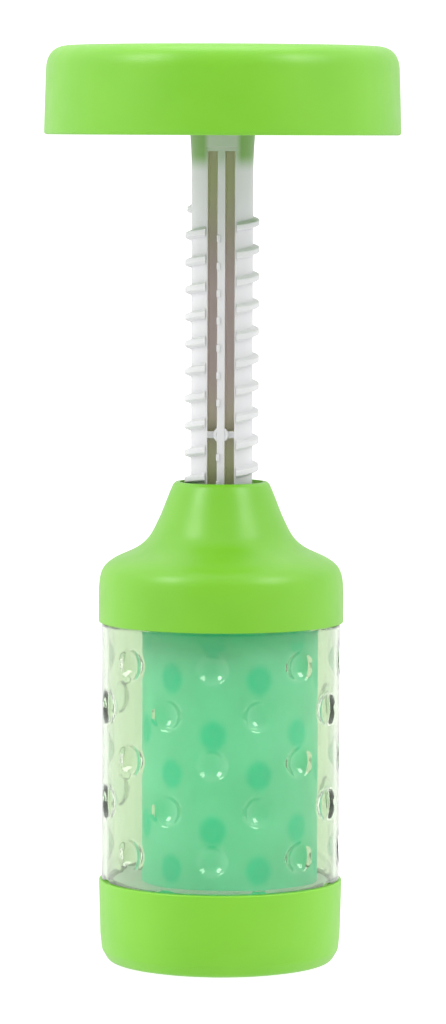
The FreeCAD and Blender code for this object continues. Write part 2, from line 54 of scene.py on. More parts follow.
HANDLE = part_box("handle_shell")
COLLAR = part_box("collar")
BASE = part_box("base_cap")
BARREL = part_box("barrel")
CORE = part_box("core_tube")
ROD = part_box("threaded_rod")
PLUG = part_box("handle_plug")


def low_mm(box):
    return box[0][2] / MM


def high_mm(box):
    return box[1][2] / MM


def radius_mm(box):
    return (box[1][0] - box[0][0]) / 2.0 / MM


# ---------------------------------------------------------------- mesh helpers

def arc_corner(before, corner, after, radius, steps):
    """The points of a rounded corner between two straight runs."""
    here = Vector(corner)
    one, two = (Vector(before) - here), (Vector(after) - here)
    angle = one.angle(two)
    reach = min(radius / math.tan(angle / 2.0), one.length * 0.49, two.length * 0.49)
    one.normalize()
    two.normalize()
    start, end = here + one * reach, here + two * reach
    points = []
    for step in range(steps + 1):
        share = step / steps
        a, b = start.lerp(here, share), here.lerp(end, share)
        points.append(a.lerp(b, share))
    return points


def rounded(corners, steps=8):
    """A closed outline from corners (r, z) or (r, z, rounding)."""
    points = []
    count = len(corners)
    for index, corner in enumerate(corners):
        before, after = corners[index - 1][:2], corners[(index + 1) % count][:2]
        if len(corner) == 3:
            points += arc_corner(before, corner[:2], after, corner[2], steps)
        else:
            points.append(Vector(corner[:2]))
    return points


def new_piece(name, bm, sharp=38.0):
    """Makes an object from a bmesh built in millimetres."""
    bmesh.ops.remove_doubles(bm, verts=bm.verts, dist=1e-4)
    bmesh.ops.dissolve_degenerate(bm, edges=bm.edges, dist=1e-5)
    bmesh.ops.recalc_face_normals(bm, faces=bm.faces)
    bmesh.ops.scale(bm, vec=(MM, MM, MM), verts=bm.verts)
    mesh = bpy.data.meshes.new(name)
    bm.to_mesh(mesh)
    bm.free()
    for polygon in mesh.polygons:
        polygon.use_smooth = True
    mesh.set_sharp_from_angle(angle=math.radians(sharp))
    piece = bpy.data.objects.new(name, mesh)
    bpy.context.scene.collection.objects.link(piece)
    return piece


def add_lathe(bm, outline, segments=160, centre=(0.0, 0.0)):
    """Spins a closed outline of (r, z) points about a vertical line."""
    rings = []
    for point in outline:
        if point[0] < 1e-6:
            rings.append([bm.verts.new((centre[0], centre[1], point[1]))])
            continue
        ring = []
        for step in range(segments):
            angle = TURN * step / segments
            ring.append(bm.verts.new((centre[0] + point[0] * math.cos(angle),
                                      centre[1] + point[0] * math.sin(angle), point[1])))
        rings.append(ring)
    for index, ring in enumerate(rings):
        join_rings(bm, rings[index - 1], ring)


def join_rings(bm, first, second):
    """Fills the band between two rings; either may be a single point on the axis."""
    if len(first) == 1 and len(second) == 1:
        return
    count = max(len(first), len(second))
    for step in range(count):
        after = (step + 1) % count
        if len(first) == 1:
            bm.faces.new((first[0], second[after], second[step]))
        elif len(second) == 1:
            bm.faces.new((first[step], first[after], second[0]))
        else:
            bm.faces.new((first[step], first[after], second[after], second[step]))


def add_block(bm, low, high, turn=0.0, round_by=0.0):
    """A block between two corners, turned about the vertical axis, with eased edges."""
    made = bmesh.ops.create_cube(bm, size=1.0)["verts"]
    middle = [(a + b) / 2.0 for a, b in zip(low, high)]
    size = [b - a for a, b in zip(low, high)]
    for vert in made:
        vert.co = Vector([vert.co[i] * size[i] + middle[i] for i in range(3)])
    if round_by:
        edges = {edge for vert in made for edge in vert.link_edges}
        done = bmesh.ops.bevel(bm, geom=list(edges), offset=round_by, segments=2, affect="EDGES",
                               profile=0.6)
        made = list({vert for face in done["faces"] for vert in face.verts})
    bmesh.ops.rotate(bm, verts=made, cent=(0, 0, 0), matrix=Matrix.Rotation(turn, 3, "Z"))


def add_web(bm, outline, half, turn):
    """A flat web of an (r, z) outline, half its thickness either side, turned about the axis."""
    made = [[bm.verts.new((r, side, z)) for r, z in outline] for side in (-half, half)]
    bm.faces.new(made[0])
    bm.faces.new(list(reversed(made[1])))
    join_rings(bm, made[0], made[1])
    bmesh.ops.rotate(bm, verts=made[0] + made[1], cent=(0, 0, 0), matrix=Matrix.Rotation(turn, 3, "Z"))


# ---------------------------------------------------------------- materials

def node_tree(name):
    material = bpy.data.materials.new(name)
    material.use_nodes = True
    tree = material.node_tree
    return material, tree, tree.nodes["Principled BSDF"]


def noise(tree, scale, detail=3.0, roughness=0.5, stretch=None):
    """A noise texture in object space, in features per metre."""
    place = tree.nodes.new("ShaderNodeTexCoord")
    texture = tree.nodes.new("ShaderNodeTexNoise")
    texture.inputs["Scale"].default_value = scale
    texture.inputs["Detail"].default_value = detail
    texture.inputs["Roughness"].default_value = roughness
    if stretch is None:
        tree.links.new(place.outputs["Object"], texture.inputs["Vector"])
    else:
        mapping = tree.nodes.new("ShaderNodeMapping")
        mapping.inputs["Scale"].default_value = stretch
        tree.links.new(place.outputs["Object"], mapping.inputs["Vector"])
        tree.links.new(mapping.outputs["Vector"], texture.inputs["Vector"])
    return texture.outputs["Fac"]


def ramp(tree, value, start, end, low, high, smooth=False):
    """Runs from low to high as a value goes from start to end, and is flat beyond them."""
    remap = tree.nodes.new("ShaderNodeMapRange")
    if smooth:
        remap.interpolation_type = "SMOOTHSTEP"
    for name, number in (("From Min", start), ("From Max", end), ("To Min", low), ("To Max", high)):
        remap.inputs[name].default_value = number
    tree.links.new(value, remap.inputs["Value"])
    return remap.outputs["Result"]


def spread(tree, value, low, high):
    """Maps a noise value onto a range."""
    return ramp(tree, value, 0.3, 0.7, low, high)


def blend_colours(tree, value, first, second):
    """Goes from one colour to another over the middle of a noise value's range."""
    band = tree.nodes.new("ShaderNodeValToRGB")
    for element, position, colour in zip(band.color_ramp.elements, (0.35, 0.65), (first, second)):
        element.position = position
        element.color = (*colour, 1.0)
    tree.links.new(value, band.inputs["Fac"])
    return band.outputs["Color"]


def add_bump(tree, shader, height, strength, distance):
    bump = tree.nodes.new("ShaderNodeBump")
    bump.inputs["Strength"].default_value = strength
    bump.inputs["Distance"].default_value = distance
    tree.links.new(height, bump.inputs["Height"])
    tree.links.new(bump.outputs["Normal"], shader.inputs["Normal"])


def slow_drift(tree, dark, light):
    """The slow change of colour across a moulding."""
    return blend_colours(tree, noise(tree, 28.0, 2.0), dark, light)


def plastic_skin(tree, shader, rough, soft=0.0, soft_radius=(0.002, 0.002, 0.0012), grain=1400.0,
                 bump=0.05):
    """Uneven gloss, a very fine grain, and light that goes a little way under the surface."""
    tree.links.new(spread(tree, noise(tree, 160.0, 4.0), *rough), shader.inputs["Roughness"])
    add_bump(tree, shader, noise(tree, grain, 4.0, 0.6), bump, 0.0002)
    shader.inputs["Subsurface Weight"].default_value = soft
    shader.inputs["Subsurface Radius"].default_value = soft_radius
    shader.inputs["Subsurface Scale"].default_value = 1.0


def moulded(name, dark, light, specular=0.5, **skin):
    """Injection-moulded plastic."""
    material, tree, shader = node_tree(name)
    tree.links.new(slow_drift(tree, dark, light), shader.inputs["Base Color"])
    plastic_skin(tree, shader, **skin)
    shader.inputs["Specular IOR Level"].default_value = specular
    return material


def object_place(tree):
    """The X, Y and Z of a point in the object's own space."""
    place = tree.nodes.new("ShaderNodeTexCoord")
    split = tree.nodes.new("ShaderNodeSeparateXYZ")
    tree.links.new(place.outputs["Object"], split.inputs["Vector"])
    return split.outputs


def height_share(tree, low, high):
    """0 below one height and 1 above another, in millimetres, eased between them."""
    return ramp(tree, object_place(tree)["Z"], low * MM, high * MM, 0.0, 1.0, smooth=True)


def tint(tree, share, base, colour):
    """Mixes a plain colour over a colour socket by a share."""
    mix = tree.nodes.new("ShaderNodeMix")
    mix.data_type = "RGBA"
    mix.inputs["B"].default_value = (*colour, 1.0)
    tree.links.new(base, mix.inputs["A"])
    tree.links.new(share, mix.inputs["Factor"])
    return mix.outputs["Result"]


def rod_white(name):
    """The rod's milky plastic, greener near the handle, most of all beside its flats: painted shade and
    reflection of the handle.
    """
    material, tree, shader = node_tree(name)
    drift = slow_drift(tree, (0.56, 0.565, 0.575), (0.605, 0.607, 0.615))
    # painted shade and green reflection of the lime handle, near the rod's top and strongest beside its
    # flats
    across = math_node(tree, "ABSOLUTE", object_place(tree)["X"])
    painted_green_aside = ramp(tree, across, 4.2 * MM, 5.8 * MM, 0.45, 0.98)
    share = math_node(tree, "MULTIPLY", height_share(tree, 248.0, 254.0), painted_green_aside)
    tree.links.new(tint(tree, share, drift, (0.15, 0.31, 0.06)), shader.inputs["Base Color"])
    plastic_skin(tree, shader, rough=(0.32, 0.42), soft=0.15, soft_radius=(0.002, 0.002, 0.0015))
    return material


def channel_shade(name):
    """The rod's channels: rougher than its skin, greyer as painted shade, and greener near the lime
    parts as painted reflection.
    """
    material, tree, shader = node_tree(name)
    # painted shade: the channels get their own greyer copy of the rod's plastic
    drift = slow_drift(tree, (0.62, 0.55, 0.525), (0.67, 0.60, 0.57))
    # painted reflection of the lime parts: greener towards the neck below and the handle above
    below = math_node(tree, "SUBTRACT", 1.0, height_share(tree, 150.0, 190.0))
    painted_green_ends = math_node(tree, "MAXIMUM", below, height_share(tree, 215.0, 250.0))
    share = math_node(tree, "MULTIPLY", painted_green_ends, 0.5)
    tree.links.new(tint(tree, share, drift, (0.60, 0.72, 0.30)), shader.inputs["Base Color"])
    plastic_skin(tree, shader, rough=(0.5, 0.65))
    return material


def clear_plastic(name):
    """Clear moulded polymer, a little milky, with a glossy skin, mould waviness and faint scuffs; its
    green tint is partly its own and partly painted light from the green core.
    """
    material, tree, shader = node_tree(name)
    # the greenish tint is partly the plastic's own and partly painted green light from the core tube
    # inside
    haze = noise(tree, 30.0, 3.0)
    tree.links.new(blend_colours(tree, haze, (0.60, 0.71, 0.535), (0.64, 0.74, 0.565)),
                   shader.inputs["Base Color"])
    shader.inputs["Transmission Weight"].default_value = 0.98
    shader.inputs["IOR"].default_value = 1.2
    shader.inputs["Coat Weight"].default_value = 1.0
    shader.inputs["Coat IOR"].default_value = 1.5
    shader.inputs["Coat Roughness"].default_value = 0.04
    scuff = noise(tree, 220.0, 6.0, 0.65)
    tree.links.new(spread(tree, scuff, 0.02, 0.09), shader.inputs["Roughness"])
    add_bump(tree, shader, noise(tree, 60.0, 2.0), 0.2, 0.0003)
    return material


def math_node(tree, operation, first, second=None):
    """One step of arithmetic; an input is a socket or a number."""
    node = tree.nodes.new("ShaderNodeMath")
    node.operation = operation
    for index, value in enumerate((first, second)):
        if isinstance(value, (int, float)):
            node.inputs[index].default_value = value
        elif value is not None:
            tree.links.new(value, node.inputs[index])
    return node.outputs["Value"]


def to_nearest(tree, value, start, step):
    """The signed distance from a value to the nearest of start, start + step and so on."""
    shifted = math_node(tree, "SUBTRACT", value, start - step / 2.0)
    return math_node(tree, "SUBTRACT", math_node(tree, "FLOORED_MODULO", shifted, step), step / 2.0)


def dimple_shade_spots(tree, radius, centre_x):
    """1 inside the staggered oval spots of painted dimple shade on the core tube, 0 outside, with a
    soft edge between.
    """
    point = object_place(tree)
    angle = math_node(tree, "ARCTAN2", point["Y"], math_node(tree, "SUBTRACT", point["X"], centre_x))
    inside = None
    for first_angle, first_row in SPOT_FAMILIES:
        across = math_node(tree, "MULTIPLY", to_nearest(tree, angle, first_angle, SPOT_TURN), radius)
        up = to_nearest(tree, point["Z"], first_row, ROW_PITCH * MM)
        wide = math_node(tree, "POWER", math_node(tree, "DIVIDE", across, SPOT_WIDE), 2.0)
        tall = math_node(tree, "POWER", math_node(tree, "DIVIDE", up, SPOT_TALL), 2.0)
        away = math_node(tree, "SQRT", math_node(tree, "ADD", wide, tall))
        shade = ramp(tree, away, SPOT_FADE_OUT, SPOT_FADE_IN, 0.0, 1.0, smooth=True)
        inside = shade if inside is None else math_node(tree, "MAXIMUM", inside, shade)
    return inside


def translucent_green(name):
    """The core tube's cloudy green polymer, with painted dimple shade as darker ovals between the
    dimples, and painted shade from the collar at its top.
    """
    material, tree, shader = node_tree(name)
    drift = blend_colours(tree, noise(tree, 45.0, 3.0), (0.172, 0.87, 0.58), (0.215, 0.94, 0.67))
    # painted shade of the barrel's dimples: darker ovals on the tube
    spots = dimple_shade_spots(tree, radius_mm(CORE) * MM, (CORE[0][0] + CORE[1][0]) / 2.0)
    spotted = tint(tree, spots, drift, (0.010, 0.83, 0.52))
    # painted shade: the tube's top, under the collar, turns a deeper, darker green
    share = height_share(tree, 98.0, 107.0)
    tree.links.new(tint(tree, share, spotted, (0.0, 0.93, 0.46)), shader.inputs["Base Color"])
    shader.inputs["Transmission Weight"].default_value = 0.18
    shader.inputs["IOR"].default_value = 1.12
    tree.links.new(spread(tree, noise(tree, 120.0, 4.0), 0.34, 0.46), shader.inputs["Roughness"])
    add_bump(tree, shader, noise(tree, 500.0, 3.0), 0.06, 0.0002)
    return material


def steel(name):
    material, tree, shader = node_tree(name)
    brushed = noise(tree, 900.0, 5.0, 0.6, stretch=(1.0, 1.0, 0.08))
    tree.links.new(blend_colours(tree, brushed, (0.50, 0.50, 0.52), (0.66, 0.66, 0.68)),
                   shader.inputs["Base Color"])
    shader.inputs["Metallic"].default_value = 1.0
    tree.links.new(spread(tree, brushed, 0.24, 0.42), shader.inputs["Roughness"])
    add_bump(tree, shader, brushed, 0.08, 0.0001)
    return material


# rows and columns of dimples on the barrel, in millimetres
ROW_EVEN, ROW_ODD, ROW_PITCH, FIRST_COLUMN = 36.9, 22.4, 29.7, math.radians(-94.0)
# the core's darker spots of painted dimple shade, which lie between the dimples, in metres
SPOT_TURN = TURN / 6.0
SPOT_FAMILIES = ((math.radians(-101.0), 45.0 * MM), (math.radians(-131.0), 32.4 * MM))
SPOT_WIDE, SPOT_TALL = 0.0043, 0.0048
SPOT_FADE_OUT, SPOT_FADE_IN = 1.3, 0.6      # where a spot ends and where it is full, in spot radii

LIME_SKIN = {"rough": (0.33, 0.41), "soft": 0.1, "grain": 900.0, "bump": 0.02, "specular": 0.6}
LIME = moulded("lime_plastic", (0.147, 0.446, 0.010), (0.167, 0.474, 0.015), **LIME_SKIN)
# painted light: a lighter copy of the lime plastic for the base cap, which gets less light down low
LIME_PAINTED_LIGHTER = moulded("lime_plastic_painted_lighter", (0.168, 0.505, 0.014), (0.190, 0.535, 0.020), **LIME_SKIN)
WHITE = moulded("white_plastic", (0.555, 0.562, 0.572), (0.595, 0.60, 0.605), rough=(0.32, 0.42),
                soft=0.15)
ROD_WHITE = rod_white("rod_plastic")
CHANNEL = channel_shade("channel_shade")
CLEAR = clear_plastic("clear_plastic")
GREEN = translucent_green("green_core")
NYLON = moulded("green_nylon", (0.03, 0.36, 0.17), (0.04, 0.42, 0.20), rough=(0.4, 0.55))
RUBBER = moulded("rubber_seal", (0.48, 0.52, 0.46), (0.54, 0.57, 0.51), rough=(0.55, 0.7), soft=0.1)
STEEL = steel("steel")
FINISHES = {"lime_plastic": LIME, "white_plastic": WHITE, "clear_plastic": CLEAR, "green_core": GREEN,
            "nylon": NYLON, "rubber_seal": RUBBER, "steel": STEEL}


def finish_cad_nodes():
    """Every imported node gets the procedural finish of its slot."""
    for row in frame["record"]["subparts"]:
        node = frame["nodes"][row["node"]]
        for index in range(max(1, len(node.data.materials))):
            if index < len(node.data.materials):
                node.data.materials[index] = FINISHES[row["material_slot"]]
            else:
                node.data.materials.append(FINISHES[row["material_slot"]])


def place(piece, material, body, node, slot):
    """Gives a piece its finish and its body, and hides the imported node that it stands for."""
    piece.data.materials.append(material)
    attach(piece, body)
    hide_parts(node)


# ---------------------------------------------------------------- handle

HUB_LOW, TANG_TOP, TANG_BORE = 263.0, 280.0, 8.1
HANDLE_WALL, HUB_RADIUS, CROWN_DRAFT = 2.6, 12.6, 0.85
PLUG_SEAT_DEEP, SCREW_PASSAGE = 5.1, 2.3
CROWN_EASE, INNER_EASE = 7.6, 4.6
RIB_LOW, RIB_THICK_HALF, RIB_COUNT, RIB_BITE = 270.0, 0.9, 4, 0.5
RIB_SIDE_DOWN, RIB_TOP_IN = 4.6, 3.8         # how far the ribs' outer corners are cut off


def make_handle():
    """The round handle: drafted rim, rounded crown, hub and four ribs underneath."""
    low, top, lip = low_mm(HANDLE), high_mm(HANDLE), radius_mm(HANDLE)
    crown, wall, hub = lip - CROWN_DRAFT, HANDLE_WALL, HUB_RADIUS
    ceiling, plug, seat = top - wall - 0.2, radius_mm(PLUG) + 0.05, top - PLUG_SEAT_DEEP
    bm = bmesh.new()
    add_lathe(bm, rounded([
        (TANG_BORE, HUB_LOW, 0.3), (hub, HUB_LOW, 0.9), (hub + 0.5, ceiling, 1.6),
        (crown - wall, ceiling, INNER_EASE), (lip - wall, low, 0.8), (lip, low, 1.1),
        (crown, top, CROWN_EASE), (plug, top, 0.35), (plug, seat), (SCREW_PASSAGE, seat),
        (SCREW_PASSAGE, TANG_TOP), (TANG_BORE, TANG_TOP)], steps=10), segments=224)
    inner, outer, high = hub - 0.6, crown - wall + RIB_BITE, ceiling + RIB_BITE
    rib = [(inner, RIB_LOW), (outer, RIB_LOW), (outer, top - RIB_SIDE_DOWN),
           (crown - RIB_TOP_IN, high), (inner, high)]
    for index in range(RIB_COUNT):
        add_web(bm, rib, RIB_THICK_HALF, TURN * (index + 0.5) / RIB_COUNT)
    place(new_piece("handle", bm), LIME, "screw", "handle_shell", "lime_plastic")


def make_plug():
    """The flush cover in the middle of the handle, with an eased rim."""
    radius, low, top = radius_mm(PLUG), low_mm(PLUG), high_mm(PLUG)
    bm = bmesh.new()
    add_lathe(bm, rounded([(0.0, low), (radius, low, 0.2), (radius, top, 0.45), (0.0, top)], steps=6),
              segments=96)
    place(new_piece("plug", bm), LIME, "screw", "handle_plug", "lime_plastic")


# ---------------------------------------------------------------- rod

ROOT, CREST, PITCH = 9.6, 11.6, 8.5
THREAD_START, THREAD_TURNS = 122.3, 13.5
RIDGE_HALF, TIP_HALF = 1.6, 0.72
FLAT_HALF, FLAT_Y = 4.9, 8.4
RIB_HALF, CHANNEL_OUT, CHANNEL_FLOOR = 1.2, 4.2, 3.0
CHANNEL_LOW, CHANNEL_HIGH, FLAT_HIGH = 124.0, 254.8, 256.2
FLARE_LOW, FLARE = 247.0, 10.4
NUB_TOP, NUB_COUNT, NUB_HALF, NUB_PROUD = 227.7, 12, 1.1, 0.6
SPIGOT, TANG, FINE_LEVELS_END = 6.0, 8.0, 240.0
BAR_Z, BAR_HALF, BAR_Y = 166.7, 1.1, 7.2
FACE_TWIST = math.radians(-2.3)
SIDE_STEPS = 26


def ridge_height(angle, z):
    """How far the thread's ridge stands out at an angle and height."""
    share = (angle % TURN) / TURN
    index = round((z - THREAD_START) / PITCH - share)
    along = index + share
    off = abs(z - THREAD_START - PITCH * along)
    fade = min(along, THREAD_TURNS - along) / 0.05
    fade = max(0.0, min(1.0, fade))
    rise = max(0.0, min(1.0, (RIDGE_HALF - off) / (RIDGE_HALF - TIP_HALF)))
    eased = rise * rise * (3.0 - 2.0 * rise)
    return (CREST - ROOT) * (0.35 * rise + 0.65 * eased) * fade


def root_radius(z):
    """The rod's core, which widens a little on its way up into the hub."""
    share = max(0.0, min(1.0, (z - FLARE_LOW) / (HUB_LOW - FLARE_LOW)))
    return ROOT + (FLARE - ROOT) * share * share


def face_outline(z, root):
    """One grooved face of the rod from +x to -x, as (x, y) seen with the face towards -y."""
    inside = CHANNEL_LOW < z < CHANNEL_HIGH
    floor = CHANNEL_FLOOR if inside else FLAT_Y
    if inside and abs(z - BAR_Z) < BAR_HALF:
        floor = BAR_Y
    lip = 0.18 if inside else 0.0
    edge = min(math.sqrt(max(root * root - FLAT_HALF ** 2, 0.0)), FLAT_Y)
    grooved = z < FLAT_HIGH
    half = []
    for x, depth in ((FLAT_HALF, edge), (4.66, FLAT_Y), (CHANNEL_OUT + lip, FLAT_Y),
                     (CHANNEL_OUT, FLAT_Y - lip), (CHANNEL_OUT, floor + lip * 2),
                     (CHANNEL_OUT - lip * 2, floor), (RIB_HALF + lip * 2, floor),
                     (RIB_HALF, floor + lip * 2), (RIB_HALF, FLAT_Y - lip), (RIB_HALF - lip, FLAT_Y)):
        if not grooved:
            depth = math.sqrt(root * root - x * x)
        half.append((x, -depth))
    return half + [(-x, y) for x, y in reversed(half)]


def side_outline(z, root, start_angle):
    """One threaded side of the rod, from the end of one face to the start of the next."""
    points = []
    for step in range(SIDE_STEPS + 1):
        share = step / SIDE_STEPS
        radius = root
        for _ in range(3):
            gap = math.asin(FLAT_HALF / radius)
            angle = start_angle + gap + (math.pi - 2.0 * gap) * share
            radius = root + ridge_height(angle, z)
        points.append((radius * math.cos(angle), radius * math.sin(angle)))
    return points


def rod_section(z):
    """The rod's outline at one height, anticlockwise."""
    root = root_radius(z)
    section = []
    for half_turn in (0.0, math.pi):
        spin = half_turn + FACE_TWIST
        for x, y in reversed(face_outline(z, root)):
            section.append((x * math.cos(spin) - y * math.sin(spin),
                            x * math.sin(spin) + y * math.cos(spin)))
        section += side_outline(z, root, spin - math.pi / 2.0)
    return section


def rod_levels():
    """Heights of the rod's sections: close together on the thread and in pairs at every step."""
    bottom, fine, fine_end = low_mm(ROD) + 9.5, 0.25, FINE_LEVELS_END
    levels = [bottom + fine * index for index in range(int((fine_end - bottom) / fine) + 1)]
    levels += [fine_end + index for index in range(1, int(HUB_LOW - fine_end) + 1)]
    for step in (CHANNEL_LOW, CHANNEL_HIGH, FLAT_HIGH, BAR_Z - BAR_HALF, BAR_Z + BAR_HALF):
        levels = [level for level in levels if abs(level - step) > 0.12]
        levels += [step - 0.03, step + 0.03]
    return sorted(levels)


def shade_channels(rod):
    """The channels' walls and floors get a rougher material, greyer than the rod's skin as painted
    shade.
    """
    rod.data.materials.append(CHANNEL)
    turn = Matrix.Rotation(-FACE_TWIST, 3, "Z")
    for polygon in rod.data.polygons:
        centre = turn @ polygon.center / MM
        across, deep = abs(centre.x), abs(centre.y)
        in_height = CHANNEL_LOW < centre.z < CHANNEL_HIGH and abs(centre.z - BAR_Z) > BAR_HALF
        if in_height and RIB_HALF - 0.05 < across < CHANNEL_OUT + 0.05 and deep < FLAT_Y - 0.35:
            polygon.material_index = 1


def make_rod():
    """The feed screw, with its grooved faces, its spigot, its tang and the round boss."""
    bm = bmesh.new()
    levels = rod_levels()
    rings = [[bm.verts.new((x, y, z)) for x, y in rod_section(z)] for z in levels]
    for first, second in zip(rings, rings[1:]):
        join_rings(bm, first, second)
    bottom_cap = bm.verts.new((0.0, 0.0, levels[0]))
    top_cap = bm.verts.new((0.0, 0.0, levels[-1]))
    join_rings(bm, [bottom_cap], rings[0])
    join_rings(bm, rings[-1], [top_cap])
    low, high = low_mm(ROD), high_mm(ROD)
    for radius, start, end in ((SPIGOT, low, levels[0] + 0.5), (TANG, levels[-1] - 0.5, high)):
        corners = [(0.0, start), (radius, start, 0.4), (radius, end, 0.4), (0.0, end)]
        add_lathe(bm, rounded(corners, steps=4), segments=64)
    for face_turn in (0.0, math.pi):
        for index in range(NUB_COUNT):
            middle = NUB_TOP - PITCH * index
            if abs(middle - BAR_Z) > 3.0:
                add_block(bm, (-RIB_HALF - 0.2, -FLAT_Y - NUB_PROUD, middle - NUB_HALF),
                          (-RIB_HALF + 0.9, -FLAT_Y + 0.3, middle + NUB_HALF),
                          turn=FACE_TWIST + face_turn, round_by=0.2)
    rod = new_piece("feed_rod", bm, sharp=42.0)
    place(rod, ROD_WHITE, "screw", "threaded_rod", "white_plastic")
    shade_channels(rod)
    bm = bmesh.new()
    face = FLAT_Y - 0.2
    outline = rounded([(0.0, 2.5 - face), (2.4, 2.5 - face), (2.4, 0.0, 0.35), (1.5, 0.0, 0.2),
                       (0.8, -0.45, 0.4), (0.0, -0.5)], steps=6)
    add_lathe(bm, outline, segments=48)
    turn = Matrix.Rotation(FACE_TWIST, 4, "Z") @ Matrix.Translation((0.0, -face, BAR_Z)) \
        @ Matrix.Rotation(math.pi / 2.0, 4, "X")
    bmesh.ops.transform(bm, matrix=turn, verts=bm.verts)
    boss = new_piece("rod_boss", bm)
    boss.data.materials.append(WHITE)
    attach(boss, "screw")


# ---------------------------------------------------------------- collar, base cap

# the collar's skin from skirt to cone as (r, z), and the steps of its inside down to the ledge
SHOULDER = ((38.4, 116.0), (38.3, 119.2), (37.85, 122.3), (37.0, 124.4), (35.9, 125.75),
            (34.5, 126.85), (32.6, 127.95), (30.2, 129.05), (28.0, 130.05), (26.2, 131.05),
            (24.6, 132.2), (23.2, 133.6), (22.0, 135.2), (21.0, 137.0), (20.0, 139.1), (19.0, 141.2))
CAP_BORE, SKIRT, LEDGE, NECK_BORE = 36.2, 38.5, 124.5, 13.06
COLLAR_INSIDE = ((NECK_BORE, 138.0), (16.45, 138.0), (16.45, 119.0), (31.0, 119.0), (31.0, LEDGE))


def make_collar():
    """The upper cap: straight skirt, rounded shoulder, concave cone and thin-lipped neck."""
    low, top = low_mm(COLLAR), high_mm(COLLAR)
    bm = bmesh.new()
    outline = rounded([(CAP_BORE, LEDGE, 0.5), (CAP_BORE, low, 0.35), (SKIRT, low, 0.6)], steps=6)
    outline += smooth_run(SHOULDER, 4)
    outline += rounded_end([SHOULDER[-1], (16.1, 148.6), (15.15, 150.75), (14.35, top),
                            (NECK_BORE, top)])
    outline += [Vector(point) for point in COLLAR_INSIDE]
    add_lathe(bm, outline, segments=224)
    place(new_piece("upper_collar", bm), LIME, "housing", "collar", "lime_plastic")


def smooth_run(points, steps):
    """A Catmull-Rom run through a list of (r, z) points."""
    points = [Vector(point) for point in points]
    run = [points[0]]
    for index in range(len(points) - 1):
        a, b = points[max(index - 1, 0)], points[index]
        c, d = points[index + 1], points[min(index + 2, len(points) - 1)]
        for step in range(1, steps + 1):
            s = step / steps
            run.append(0.5 * ((2 * b) + (c - a) * s + (2 * a - 5 * b + 4 * c - d) * s * s
                              + (3 * b - a - 3 * c + d) * s ** 3))
    return run


def rounded_end(corners, radius=0.9, steps=6):
    """The inner corners of an open run, rounded."""
    points = []
    for before, corner, after in zip(corners, corners[1:], corners[2:]):
        points += arc_corner(before, corner, after, radius, steps)
    last = corners[-1]
    return points + [Vector((last[0], last[1] - 0.01))]


def make_base_cap():
    """The lower cap: a cup with a rounded foot and a recess underneath."""
    top, radius = high_mm(BASE), radius_mm(BASE)
    bm = bmesh.new()
    add_lathe(bm, rounded([
        (0.0, 5.4), (0.0, 1.4), (26.4, 1.4, 0.5), (27.0, 0.0, 0.5), (31.6, 0.0), (35.2, 0.75, 3.0),
        (37.25, 4.2, 3.2), (37.75, 9.0, 3.0), (radius, top, 0.55), (CAP_BORE, top, 0.3),
        (CAP_BORE, 5.4, 0.8)], steps=8), segments=224)
    # painted light: the base cap wears the lighter copy of the lime plastic
    place(new_piece("lower_cap", bm), LIME_PAINTED_LIGHTER, "housing", "base_cap", "lime_plastic")


# ---------------------------------------------------------------- barrel and core

DIMPLE_SPHERE, DIMPLE_HALF, RIM_EASE = 6.2, 5.1, 0.14
RIM_SLOPE, RIM_TRIM, DIMPLE_ROWS = 1.45, 0.004, 3
COLUMNS, COLUMN_STEPS = 16, 20
BARREL_RADIUS, SPIGOT_RADIUS, WALL = 37.4, 36.0, 1.7
STEP_LOW, STEP_HIGH = high_mm(BASE) + 0.1, low_mm(COLLAR) - 0.1


def dimple(column, z, across, half):
    """Depth of the nearest dimple at an arc distance across from a column's centre line."""
    start = ROW_EVEN if column % 2 == 0 else ROW_ODD
    row = max(0, min(DIMPLE_ROWS - 1, round((z - start) / ROW_PITCH)))
    away = math.hypot(across, z - start - ROW_PITCH * row)
    if away < half:
        depth = math.sqrt(DIMPLE_SPHERE ** 2 - away ** 2) - math.sqrt(DIMPLE_SPHERE ** 2 - half ** 2)
    else:
        depth = -RIM_SLOPE * (away - half)
    return 0.5 * (depth + math.hypot(depth, RIM_EASE)) - RIM_TRIM / (1.0 + abs(depth))


def barrel_ring(bm, radius, z, half, share):
    """One ring of the barrel's wall; share fades the dimples out where the wall has none."""
    ring = []
    for column in range(COLUMNS):
        for step in range(COLUMN_STEPS):
            angle = FIRST_COLUMN + TURN * (column + step / COLUMN_STEPS) / COLUMNS
            near = column if step < COLUMN_STEPS / 2 else column + 1
            across = radius * (angle - FIRST_COLUMN - TURN * near / COLUMNS)
            reach = radius - share * max(0.0, dimple(near % COLUMNS, z, across, half))
            ring.append(bm.verts.new((reach * math.cos(angle), reach * math.sin(angle), z)))
    return ring


